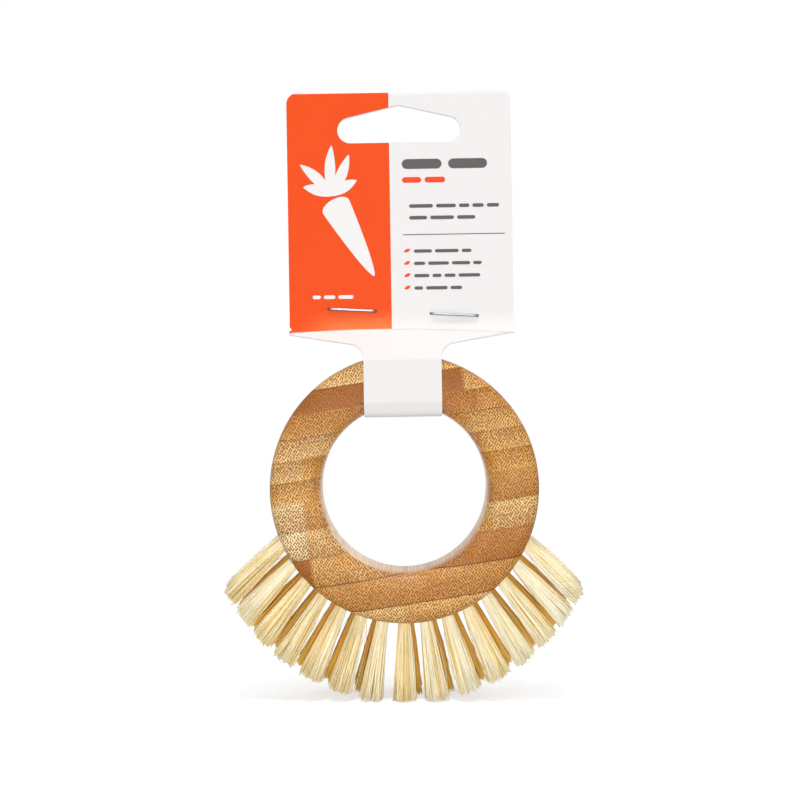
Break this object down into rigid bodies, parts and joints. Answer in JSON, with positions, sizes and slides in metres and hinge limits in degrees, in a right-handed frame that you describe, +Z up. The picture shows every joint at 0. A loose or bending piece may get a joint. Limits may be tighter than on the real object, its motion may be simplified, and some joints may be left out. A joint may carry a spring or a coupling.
{
  "type": "vegetable brush",
  "caption": "Vegetable brush with a laminated bamboo ring handle, rows of stiff bristle tufts round its lower rim, and a folded, stapled hang card looped through the ring.",
  "frame": {"origin": "on the surface that the brush stands on, under the middle of the ring, at the centre of the base of its box", "axes": "+Z up through the ring's centre to the top of the hang card; +X to the right along the fan of bristles as seen from the front; +Y from the front to the back along the ring's axis"},
  "size_m": [0.1184, 0.025, 0.2009],
  "materials": {
    "bamboo": "laminated bamboo end grain under clear lacquer",
    "bristle": "cream recycled plastic and plant fibre, satin",
    "anchor_wire": "drawn flat wire",
    "card": "uncoated white board printed orange and white",
    "staple_wire": "galvanised round wire"
  },
  "bodies": {
    "brush": {"ring_handle": "bamboo", "tuft_front_01": "bristle", "tuft_front_02": "bristle", "tuft_front_03": "bristle", "tuft_front_04": "bristle", "tuft_front_05": "bristle", "tuft_front_06": "bristle", "tuft_front_07": "bristle", "tuft_front_08": "bristle", "tuft_front_09": "bristle", "tuft_front_10": "bristle", "tuft_front_11": "bristle", "tuft_front_12": "bristle", "tuft_front_13": "bristle", "tuft_front_14": "bristle", "tuft_front_15": "bristle", "tuft_middle_01": "bristle", "tuft_middle_02": "bristle", "tuft_middle_03": "bristle", "tuft_middle_04": "bristle", "tuft_middle_05": "bristle", "tuft_middle_06": "bristle", "tuft_middle_07": "bristle", "tuft_middle_08": "bristle", "tuft_middle_09": "bristle", "tuft_middle_10": "bristle", "tuft_middle_11": "bristle", "tuft_middle_12": "bristle", "tuft_middle_13": "bristle", "tuft_middle_14": "bristle", "tuft_middle_15": "bristle", "tuft_rear_01": "bristle", "tuft_rear_02": "bristle", "tuft_rear_03": "bristle", "tuft_rear_04": "bristle", "tuft_rear_05": "bristle", "tuft_rear_06": "bristle", "tuft_rear_07": "bristle", "tuft_rear_08": "bristle", "tuft_rear_09": "bristle", "tuft_rear_10": "bristle", "tuft_rear_11": "bristle", "tuft_rear_12": "bristle", "tuft_rear_13": "bristle", "tuft_rear_14": "bristle", "tuft_rear_15": "bristle", "anchors_front": "anchor_wire", "anchors_middle": "anchor_wire", "anchors_rear": "anchor_wire"},
    "card": {"hang_card": "card", "staple_left": "staple_wire", "staple_right": "staple_wire"}
  },
  "joints": [
    {"name": "card_turn", "type": "hinge", "parent": "brush", "child": "card", "pos_m": [0, 0, 0.069], "axis": [0, 1, 0], "range_deg": [-76, 77]}
  ]
}
